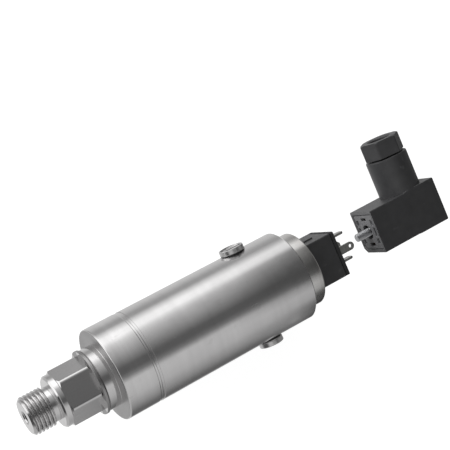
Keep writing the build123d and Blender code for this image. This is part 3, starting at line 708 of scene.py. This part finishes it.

# %% [markdown]
# ## The pressure fitting
# One bar of steel becomes the stub with its G 1/4 thread, the relief behind it, the
# sealing collar, the hexagon, a thin rim, the polished neck and the front of the
# housing. The profile runs from the end of the thread back along the outside, and
# returns through the sensor's pocket and the pressure port. The thread is grown
# between the two open ends and welded on. It and the hexagon's sides have the drawn
# bar's finish. The rim and the housing's front face have a rougher faced finish, and
# its darker grey is painted shade that dims their reflection of the front card.

# %% Pressure fitting
crest_r, root_r, port_r = 6.5785, 5.8, 2.0
collar_r, rim_r, neck_r, body_r, spigot_r, pocket_r = 8.95, 11.2, 10.8, 16.0, 13.47, 9.0
stub_end, thread_start, thread_end = -10.0, -9.7785, -2.05
collar_end, hexagon_end, neck_start, neck_end = 2.2, 13.2, 14.5, 18.6
seam, front_end, spigot_end, pocket_floor = 30.06, 30.9, 36.9, 20.2
outside = [
    (thread_end, root_r), (-1.9, root_r), (0, root_r), (0, 8.35), (0.6, collar_r), (collar_end, collar_r),
]
hexagon = hexagon_rings(collar_end, hexagon_end, 17.0, (8.7, 9.3), 0.76, corner_angle=-12.0, corner_cut=0.2)
shoulder = [
    (hexagon_end, rim_r - 0.08), (hexagon_end + 0.08, rim_r), (14.15, rim_r), (neck_start, neck_r),
    (neck_end, neck_r), (neck_end, 15.6), (18.73, 15.87), (19.0, body_r), (29.92, body_r),
    (seam, body_r - 0.08), (front_end, body_r - 0.1), (front_end, spigot_r), (spigot_end, spigot_r),
    (spigot_end, pocket_r), (pocket_floor, pocket_r), (pocket_floor, port_r), (-9.6, port_r), (stub_end, 2.4),
    (stub_end, root_r - 0.2215), (thread_start, root_r),
]
fitting = turned(softened(outside, 0.12) + hexagon + softened(shoulder, 0.14))
fitting.normal_update()
for face in fitting.faces:
    x, y, z = face.calc_center_median() / mm
    r = math.hypot(y, z)
    on_side = collar_end < x < hexagon_end and r > 8.3 and abs(face.normal.x) < 0.3
    # The housing's front face and the rim take the faced finish with its painted shade.
    on_front = abs(x - neck_end) < 0.05 and abs(face.normal.x) > 0.9
    on_rim = 13.1 < x < 14.2 and r > 10.0
    face.material_index = 2 if on_front or on_rim else int(on_side)
fitting.from_mesh(
    grow_thread(crest_r, root_r, 1.337, thread_start, thread_end, 5.2, 96, ROUNDS, bar_steel, finish_slot=1)
)
fitting_piece = finish_piece("pressure_fitting_turned", fitting, [fitting_steel, bar_steel, shade_painted_faced_steel])
stand_in(fitting_piece, "transmitter", "stainless", "process_fitting")

# %% [markdown]
# ## Carving and skinning
# A mould or a saw makes shapes that no lathe does. `skinned` lofts a row of outlines
# along X, `rod` and `block` make plain tools, and `carved` joins or cuts them by
# Boolean and keeps the result as a plain mesh. Booleans leave thin rounds beside large
# flats, so the shading of each corner is then weighted toward its larger face, which
# keeps the flats flat.


# %% Carving tools
def plain_mesh(piece):
    """Freezes a piece's modifiers into its mesh."""
    mesh = bpy.data.meshes.new_from_object(piece.evaluated_get(bpy.context.evaluated_depsgraph_get()))
    piece.modifiers.clear()
    piece.data = mesh


def carved(blank, *steps):
    """Applies (operation, shape) steps to a piece, one after another."""
    tools = []
    for operation, shape in steps:
        tool = finish_piece("tool", shape, [])
        step = blank.modifiers.new("carve", "BOOLEAN")
        step.object, step.operation, step.solver = tool, operation, "EXACT"
        tools.append(tool)
    bpy.context.view_layer.update()
    plain_mesh(blank)
    for tool in tools:
        bpy.data.objects.remove(tool)
    smooth(blank.data)
    blank.modifiers.new("flats", "WEIGHTED_NORMAL").keep_sharp = True
    plain_mesh(blank)
    return blank


def cut(shape):
    """A carving step that takes a shape away."""
    return "DIFFERENCE", shape


def join(shape):
    """A carving step that adds a shape."""
    return "UNION", shape


def rod(rings, rounds=96, moved=None):
    """A solid bar of (along, radius) rings in mm on the X axis, or moved by a matrix."""
    shape = turned(rings, rounds)
    fill_ends(shape, shape.edges)
    bmesh.ops.recalc_face_normals(shape, faces=shape.faces)
    if moved is not None:
        shape.transform(moved)
    return shape


def skinned(*sections):
    """Skins sections of (x, outline), all with the same number of points, and caps them."""
    shape = bmesh.new()
    rows = [[shape.verts.new((x * mm, y * mm, z * mm)) for y, z in outline] for x, outline in sections]
    skin(shape, rows)
    shape.faces.new(rows[0])
    shape.faces.new(rows[-1])
    bmesh.ops.recalc_face_normals(shape, faces=shape.faces)
    return shape


def rounded(corners, radius, steps=5):
    """Rounds every corner of a closed outline."""
    spots = []
    for before, corner, after in zip(corners[-1:] + corners[:-1], corners, corners[1:] + corners[:1]):
        middle = Vector(corner)
        back, on = (Vector(before) - middle).normalized(), (Vector(after) - middle).normalized()
        reach = radius / math.tan(back.angle(on) / 2)
        for k in range(steps + 1):
            share = k / steps
            first, last = middle + back * reach * (1 - share), middle + on * reach * share
            spots.append(tuple(first.lerp(last, share)))
    return spots


def panel(y_low, y_high, z_low, z_high, radius=0.3, key_cut=0.0, inset=0.0):
    """A rounded rectangle in Y and Z, which may have its low corner cut off as a key."""
    y_low, y_high, z_low, z_high = y_low + inset, y_high - inset, z_low + inset, z_high - inset
    corners = [(y_high, z_low), (y_high, z_high), (y_low, z_high)]
    if key_cut:
        key_cut -= 0.586 * inset  # 2 minus the root of 2, so that the slope moves in as far as the sides
        corners += [(y_low, z_low + key_cut), (y_low + key_cut, z_low)]
    else:
        corners += [(y_low, z_low)]
    return rounded(corners, radius)


def middle_panel(y, z, width, height, radius):
    """A rounded rectangle round a middle."""
    return panel(y - width / 2, y + width / 2, z - height / 2, z + height / 2, radius)


def sections(sides, *places):
    """Sections of one panel for a skin, at places of (x, inset)."""
    return [(x, panel(**sides, inset=inset)) for x, inset in places]


def block(low, high):
    """A plain box between two corners in mm."""
    shape = bmesh.new()
    middle = [(a + b) / 2 * mm for a, b in zip(low, high)]
    size = [(b - a) * mm for a, b in zip(low, high)]
    bmesh.ops.create_cube(shape, size=1, matrix=Matrix.Translation(middle) @ Matrix.Diagonal((*size, 1)))
    return shape


print("carving tools ready")

# %% [markdown]
# ## Slotted screws
# The zero and span screws, the plug's centre screw and the terminal screws are one
# kind of thing: a head with a sawn slot and a threaded shank. One function turns the
# head, welds on a thread from the tree, and saws the slot. It works along X, and each
# screw is then turned into its place inside its own mesh.


# %% Screw maker
def slotted_screw(name, head, shank, slot, pitch, plain=0.0, cup=None, finish=screw_finish, rounds=96):
    """A screw along X in mm with its shank below zero and its head above.

    head and shank are (radius, length), slot is (width, depth). plain is the length of
    shank without a thread. cup is the (radius, depth) of a hollow that holds the slot."""
    (head_r, top), (shank_r, length), (slot_width, slot_depth) = head, shank, slot
    cup_r, cup_depth = cup or (0, 0)
    bevel, under_bevel = (0.16, 0.3) if cup else (min(0.4, top * 0.25), 0.1)
    slot_top = top - cup_depth
    root_r = shank_r - 0.5 * pitch
    thread_end = -plain - 0.6
    bar = [(thread_end, root_r), (-plain - 0.3, root_r), (-plain - 0.01, shank_r)]
    outline = [
        (0, shank_r), (0, head_r - under_bevel), (under_bevel, head_r), (top - bevel, head_r),
        (top - bevel * 0.3, head_r - bevel * 0.3), (top, head_r - bevel),
    ]
    if cup:
        outline += [(top, cup_r), (slot_top, cup_r - 0.1)]
    shape = turned(bar + softened(outline + [(slot_top, 0.02)], 0.08), rounds)
    fill_ends(shape, [e for e in shape.edges if e.verts[0].co.x > -0.1 * mm])
    rows = int(10 * (length - plain) / pitch)
    shape.from_mesh(grow_thread(shank_r, root_r, pitch, -length, thread_end, 2.0, rows, rounds, finish))
    bmesh.ops.remove_doubles(shape, verts=shape.verts, dist=MERGE)
    fill_ends(shape, shape.edges)
    bmesh.ops.recalc_face_normals(shape, faces=shape.faces)
    blank = finish_piece(name, shape, [finish])
    reach = cup_r - 0.15 if cup else 1.5 * head_r
    saw = block((slot_top - slot_depth, -reach, -slot_width / 2), (slot_top + 1, reach, slot_width / 2))
    screw = carved(blank, cut(saw))
    # The slot's floor gets the dark finish: painted shade inside the slot.
    screw.data.materials.append(slot_floor_painted_shade)
    for face in screw.data.polygons:
        x, y, z = face.center / mm
        at_depth = slot_top - slot_depth - 0.01 < x < slot_top - 0.02
        if at_depth and abs(z) < slot_width / 2 + 0.01 and math.hypot(y, z) < 0.8 * head_r:
            face.material_index = 1
    return screw


def put(piece, place, x_to, turn=0.0):
    """Turns a piece's mesh about X, points its X axis along x_to, and moves it."""
    aim = Vector((1, 0, 0)).rotation_difference(Vector(x_to)).to_matrix().to_4x4()
    spin = Matrix.Rotation(math.radians(turn), 4, "X")
    piece.data.transform(Matrix.Translation(Vector(place) * mm) @ aim @ spin)


print("screw maker ready")

# %% [markdown]
# The side screws stand on thin washers at the housing's flat spots, one on each side.
# Each head is hollowed like a cup, and its slot, which lies along the housing, is in
# the floor of the cup. The centre screw is long and thin, and its threaded tip stands
# out of the plug's mouth. Its zinc plate is duller than the bare steel of the others.

# %% Side screws and centre screw
side_screw_x, centre_head_x = 76.2, 152.2
for name, side in (("zero_screw", 1), ("span_screw", -1)):
    screw = slotted_screw(name + "_slotted", (4.3, 1.9), (2.5, 3.6), (1.2, 0.5), 0.8, cup=(3.75, 0.4))
    put(screw, (side_screw_x, body_r * side, 0), (0, side, 0))
    stand_in(screw, name, "screw_steel", name)
screw = slotted_screw(
    "centre_screw_slotted", (2.75, 2.2), (1.45, 30.8), (0.8, 1.0), 0.5,
    plain=22.8, finish=plated_finish, rounds=56,
)
put(screw, (centre_head_x, 0, 0), (1, 0, 0), turn=90)
stand_in(screw, "centre_screw", "screw_steel", "centre_screw")

# %% [markdown]
# ## The same thing four times
# The four terminal screws stand in a ring, each pointing away from the plug's axis. A
# small tree places one screw on the points of a ring, so their number and the ring's
# size are single values.

# %% Terminal screws
ring_tree, given = new_tree("ring_of_parts", "Parts", {
    "Part": "Object", "Count": "Int", "Radius": "Float", "Along": "Float", "Finish": "Material",
})
spots = add_node(ring_tree, "GeometryNodePoints", {"Count": given["Count"]})
order = add_node(ring_tree, "GeometryNodeInputIndex")
step = reckon(ring_tree, 2 * math.pi, ("DIVIDE", given["Count"]))
angle = reckon(ring_tree, order, ("MULTIPLY", step))
sideways = reckon(ring_tree, angle, ("COSINE",), ("MULTIPLY", given["Radius"]))
upward = reckon(ring_tree, angle, ("SINE",), ("MULTIPLY", given["Radius"]))
outward = add_node(ring_tree, "ShaderNodeCombineXYZ", [0, sideways, upward])
facing = add_node(ring_tree, "FunctionNodeAlignRotationToVector", {"Vector": outward}, axis="X")
reached = add_node(ring_tree, "ShaderNodeCombineXYZ", [given["Along"], sideways, upward])
spots = add_node(ring_tree, "GeometryNodeSetPosition", {"Geometry": spots, "Position": reached})
part = add_node(ring_tree, "GeometryNodeObjectInfo", {"Object": given["Part"]}).outputs["Geometry"]
placed = {"Points": spots, "Instance": part, "Rotation": facing}
end_tree(ring_tree, add_node(ring_tree, "GeometryNodeInstanceOnPoints", placed), given["Finish"])

one_screw = slotted_screw("one_terminal_screw", (1.3, 0.45), (0.8, 1.6), (0.35, 0.22), 0.35, rounds=48)
four_screws = grow(ring_tree, {
    "Part": one_screw, "Count": 4, "Radius": 5.5 * mm, "Along": 141.35 * mm, "Finish": screw_finish,
})
bpy.data.objects.remove(one_screw)
terminal_screws = add_object("terminal_screws_slotted", four_screws)
stand_in(terminal_screws, "plug", "screw_steel", "terminal_screws")

# %% [markdown]
# ## Plug housing
# The housing is one moulding. Its mouth is a rectangle with one corner cut, so that
# the plug fits one way only. It widens over a short slope into the hood, and a round
# tower for the cable stands on that. Pocket, wiring chamber, gland bore and screw hole
# are then cored out, with flared mouths where the mould has a lead-in.

# %% Plug housing
# The tower's own frame: its X axis points up the tower, and zero is the plug's axis.
tower_x = 144.8
up_tower = Matrix(((0, 1, 0, tower_x * mm), (1, 0, 0, 0), (0, 0, -1, 0), (0, 0, 0, 1)))
mouth_x, slope_x, hood_x, back_x = 126.4, 141.5, 142.6, 154.7
chamber_x, screw_hole_r = 139.6, 1.52
mouth = {"y_low": -7.8, "y_high": 7.8, "z_low": -7.0, "z_high": 7.0, "radius": 0.4, "key_cut": 1.6}
hood = {"y_low": -7.8, "y_high": 8.3, "z_low": -7.6, "z_high": 7.6, "radius": 0.4, "key_cut": 1.6}
pocket = {"y_low": -6.5, "y_high": 6.5, "z_low": -6.0, "z_high": 6.0, "radius": 0.3, "key_cut": 1.2}
chamber = {"y_low": -6.1, "y_high": 6.1, "z_low": -6.0, "z_high": 6.0, "radius": 0.3, "key_cut": 1.2}
housing_shape = skinned(
    *sections(mouth, (mouth_x, 0.16), (mouth_x + 0.05, 0.05), (mouth_x + 0.16, 0), (slope_x, 0)),
    *sections(hood, (hood_x, 0), (back_x - 0.4, 0), (back_x - 0.12, 0.12), (back_x, 0.4)),
)
pocket_shape = skinned(*sections(pocket, (mouth_x - 0.1, -0.35), (mouth_x + 0.4, 0), (chamber_x, 0)))
chamber_shape = skinned(*sections(chamber, (chamber_x - 0.1, 0), (150.7, 0)))
plug_housing = carved(
    finish_piece("plug_housing_moulded", housing_shape, [black_polyamide]),
    join(rod([(1.0, 7.58), (20.9, 7.58), (21.18, 7.46), (21.3, 7.18)], 128, up_tower)),
    cut(pocket_shape),
    cut(chamber_shape),
    join(rod([(chamber_x, 2.7), (151.2, 2.7)])),
    cut(rod([(12.0, 5.6), (20.95, 5.6), (21.4, 6.05)], 128, up_tower)),
    cut(rod([(5.9, 4.6), (12.1, 4.6)], 96, up_tower)),
    cut(rod([(chamber_x - 0.1, screw_hole_r), (155.0, screw_hole_r)])),
    cut(rod([(151.7, 3.3), (154.4, 3.3), (154.8, 3.7)])),
)
# The mouth's faces toward the stub get the paler black: a painted highlight.
plug_housing.data.materials.append(mouth_face_painted_highlight)
for face in plug_housing.data.polygons:
    if face.center.x < 128 * mm and face.normal.x < -0.5:
        face.material_index = 1
stand_in(plug_housing, "plug", "black_nylon", "plug_housing")

# %% [markdown]
# ## Contact carrier
# The carrier fills the mouth with a thin gap round it. Each of its four slots opens
# with a lead-in, then widens behind into the pocket of a contact. A round counterbore
# lets the header's bush in, and four shallow pits between the slots keep the moulding's
# walls even.

# %% Contact carrier
blade_places = ((4.7, 0), (-4.7, 0), (0, 4.7), (0, -4.7))
carrier_x = 126.6


def slot_size(y, thin, wide):
    """The size along Y and Z of a blade's slot: a blade beside the axis stands upright."""
    return (thin, wide) if y else (wide, thin)


def slot_tool(y, z):
    """A blade's slot: a flared mouth, the slot itself, and a wider pocket behind."""

    def outline(extra):
        width, height = slot_size(y, 1.0, 3.1)
        return middle_panel(y, z, width + 2 * extra, height + 2 * extra, 0.1)

    return skinned(
        (126.5, outline(0.28)), (126.85, outline(0)), (127.9, outline(0)), (127.9, outline(0.3)),
        (139.7, outline(0.3)),
    )


def pit_tool(y, z):
    """A shallow pit with sloped sides."""
    return skinned((126.5, middle_panel(y, z, 2.2, 1.6, 0.25)), (127.5, middle_panel(y, z, 1.6, 1.0, 0.25)))


carrier = {"y_low": -6.4, "y_high": 6.4, "z_low": -5.7, "z_high": 5.9, "radius": 0.35, "key_cut": 1.2}
carrier_shape = skinned(
    *sections(carrier, (carrier_x, 0.16), (carrier_x + 0.06, 0.05), (carrier_x + 0.16, 0), (chamber_x, 0)),
)
bush_way = rod([(126.4, 2.9), (126.8, 2.6), (129.1, 2.6), (129.1, screw_hole_r), (139.8, screw_hole_r)])
plug_insert = carved(
    finish_piece("plug_insert_moulded", carrier_shape, [carrier_polyamide]),
    *[cut(slot_tool(y, z)) for y, z in blade_places],
    *[cut(pit_tool(y, z)) for y, z in ((3.5, 4.6), (-3.5, 4.6), (3.5, -4.5), (-3.5, -4.5))],
    cut(bush_way),
)
stand_in(plug_insert, "plug", "insert_nylon", "plug_insert")

# %% [markdown]
# ## Gland nut
# The nut is made as the pressure fitting is: rings, four of them a hexagon's, and a
# grown thread between the open ends. It is built in the tower's frame.

# %% Gland nut
nut_low, nut_high, shank_low, shank_high = 21.8, 28.0, 17.6, 21.5
nut_root_r, nut_hole_r = 4.6, 4.0
nut_hexagon = hexagon_rings(nut_low, nut_high, 13.0, (7.3, 6.8), 0.6, corner_angle=-14.0, corner_cut=0.1)
nut_inside = [
    (nut_high, 6.8), (nut_high, nut_hole_r + 0.5), (nut_high - 0.5, nut_hole_r), (shank_low, nut_hole_r),
    (shank_low, nut_root_r),
]
nut = turned([(shank_high, nut_root_r), (nut_low, nut_root_r)] + nut_hexagon + softened(nut_inside, 0.12)[1:])
nut.from_mesh(
    grow_thread(5.5, nut_root_r, 1.5, shank_low, shank_high, 3.0, 60, ROUNDS, black_polyamide)
)
nut.transform(up_tower)
gland_nut = finish_piece("gland_nut_moulded", nut, [black_polyamide])
stand_in(gland_nut, "gland_nut", "black_nylon", "gland_nut")

# %% [markdown]
# ## Header
# A square block with a round spigot behind it, a low lug that shows which way up it
# goes, a bore for the brass bush and a slot for each blade.

# %% Header
square = {"y_low": -8.0, "y_high": 8.0, "z_low": -8.0, "z_high": 8.0, "radius": 0.5}
lug = {"y_low": 7.0, "y_high": 8.5, "z_low": -2.5, "z_high": 2.5, "radius": 0.35}
header_shape = skinned(*sections(square, (97.7, 0.15), (97.85, 0), (108.1, 0), (108.4, 0.3)))
lug_shape = skinned(*sections(lug, (100.5, 0.15), (100.65, 0), (104.35, 0), (104.5, 0.15)))
slots = []
for y, z in blade_places:
    width, height = slot_size(y, 0.9, 3.0)
    low, high = (84.0, y - width / 2, z - height / 2), (109.0, y + width / 2, z + height / 2)
    slots.append(cut(block(low, high)))
header = carved(
    finish_piece("header_moulded", header_shape, [black_polyamide]),
    join(rod([(84.6, 8.3), (84.75, 8.47), (98.0, 8.47)], 128)),
    join(lug_shape),
    cut(rod([(101.4, 2.6), (108.5, 2.6)])),
    *slots,
)
stand_in(header, "transmitter", "black_nylon", "header_base")

# %% [markdown]
# ## Parts on the board
# A leaded chip is again a rule: a body and two rows of legs, each a foot, a riser and a
# shoulder. The tree takes the chip's sizes and the number of its legs.

# %% Chip tree
chip_tree, given = new_tree("leaded_chip", "Chip", {
    "Length": "Float", "Width": "Float", "Height": "Float", "Legs": "Int", "Pitch": "Float",
    "Body Finish": "Material", "Leg Finish": "Material",
})
sheet_metal, foot_length = 0.15 * mm, 0.5 * mm


def chip_box(size, place, finish):
    """A box in the chip tree, from sockets or numbers, moved and finished."""
    extent = add_node(chip_tree, "ShaderNodeCombineXYZ", size)
    spot = add_node(chip_tree, "ShaderNodeCombineXYZ", place)
    box = add_node(chip_tree, "GeometryNodeMeshCube", {"Size": extent})
    box = add_node(chip_tree, "GeometryNodeTransform", {"Geometry": box, "Translation": spot})
    return add_node(chip_tree, "GeometryNodeSetMaterial", {"Geometry": box, "Material": finish})


def chip_join(*parts):
    """Joins parts in the chip tree. The join's one input takes every link."""
    together = add_node(chip_tree, "GeometryNodeJoinGeometry")
    for part in parts:
        chip_tree.links.new(part.outputs[0], together.inputs[0])
    return together


leg_width = reckon(chip_tree, given["Pitch"], ("MULTIPLY", 0.4))
half_width = reckon(chip_tree, given["Width"], ("MULTIPLY", 0.5))
half_height = reckon(chip_tree, given["Height"], ("MULTIPLY", 0.5))
body_width = reckon(chip_tree, given["Width"], ("SUBTRACT", 1.6 * mm))
body_height = reckon(chip_tree, given["Height"], ("SUBTRACT", sheet_metal))
body_z = reckon(chip_tree, half_height, ("ADD", sheet_metal / 2))
foot_y, riser_y, shoulder_y = (
    reckon(chip_tree, half_width, ("SUBTRACT", inward * mm)) for inward in (0.25, 0.45, 0.65)
)
riser_z = reckon(chip_tree, half_height, ("MULTIPLY", 0.5))
body = chip_box([given["Length"], body_width, body_height], [0, 0, body_z], given["Body Finish"])
leg = chip_join(
    chip_box([leg_width, foot_length, sheet_metal], [0, foot_y, sheet_metal / 2], given["Leg Finish"]),
    chip_box([leg_width, sheet_metal, half_height], [0, riser_y, riser_z], given["Leg Finish"]),
    chip_box([leg_width, foot_length, sheet_metal], [0, shoulder_y, half_height], given["Leg Finish"]),
)
gaps = reckon(chip_tree, given["Legs"], ("SUBTRACT", 1.0))
first_x = reckon(chip_tree, gaps, ("MULTIPLY", given["Pitch"]), ("MULTIPLY", -0.5))
first = add_node(chip_tree, "ShaderNodeCombineXYZ", [first_x])
stride = add_node(chip_tree, "ShaderNodeCombineXYZ", [given["Pitch"]])
line = {"Count": given["Legs"], "Start Location": first, "Offset": stride}
row = add_node(chip_tree, "GeometryNodeMeshLine", line)
row = add_node(chip_tree, "GeometryNodeInstanceOnPoints", {"Points": row, "Instance": leg})
far_row = add_node(chip_tree, "GeometryNodeTransform", {"Geometry": row, "Rotation": (0, 0, math.pi)})
whole_chip = add_node(chip_tree, "GeometryNodeRealizeInstances", [chip_join(body, row, far_row)])
add_node(chip_tree, "NodeGroupOutput", [whole_chip])
print("chip tree has", len(chip_tree.nodes), "nodes")

# %% [markdown]
# One large chip, two small ones, two resistors with tinned ends and a capacitor can
# with its pressed groove fill the board.

# %% Board parts
board_top = -2.4
board_parts = []
leg_pitch = 1.27
for x, y, length, width, height, legs in (
    (53.0, 0, 9.0, 7.0, 1.8, 7),
    (64.5, 5.5, 5.0, 4.0, 1.4, 4),
    (64.5, -5.5, 5.0, 4.0, 1.4, 4),
):
    chip = grow(chip_tree, {
        "Length": length * mm, "Width": width * mm, "Height": height * mm, "Legs": legs,
        "Pitch": leg_pitch * mm, "Body Finish": chip_plastic, "Leg Finish": tinned_blade,
    })
    chip.transform(Matrix.Translation((x * mm, y * mm, board_top * mm)))
    board_parts.append(add_object("chip", chip))

resistor_x, resistor_height = 58.5, 1.2
for y in (9.5, -9.5):
    for start, end, finish, lift in (
        (-1.6, -1.1, tinned_blade, 0.0),
        (-1.1, 1.1, chip_plastic, 0.05),
        (1.1, 1.6, tinned_blade, 0.0),
    ):
        low = (resistor_x + start, y - 0.8 + lift, board_top + lift)
        high = (resistor_x + end, y + 0.8 - lift, board_top + resistor_height - lift)
        board_parts.append(finish_piece("resistor", block(low, high), [finish]))

can_outline = [
    (0, 1.9), (0, 2.2), (0.9, 2.2), (1.1, 2.0), (1.3, 2.0), (1.5, 2.2), (5.75, 2.2), (6.0, 1.95),
    (6.0, 1.5), (5.9, 1.4), (5.9, 0.3),
]
can = finish_piece("capacitor", rod(softened(can_outline, 0.06)), [screw_finish])
put(can, (70.6, 0, board_top), (0, 0, 1))
board_parts.append(can)
board_piece = board_parts[0]
with bpy.context.temp_override(active_object=board_piece, selected_editable_objects=board_parts):
    bpy.ops.object.join()
board_piece.name = "board_parts_with_leads"
stand_in(board_piece, "transmitter", "component_body", "board_components")
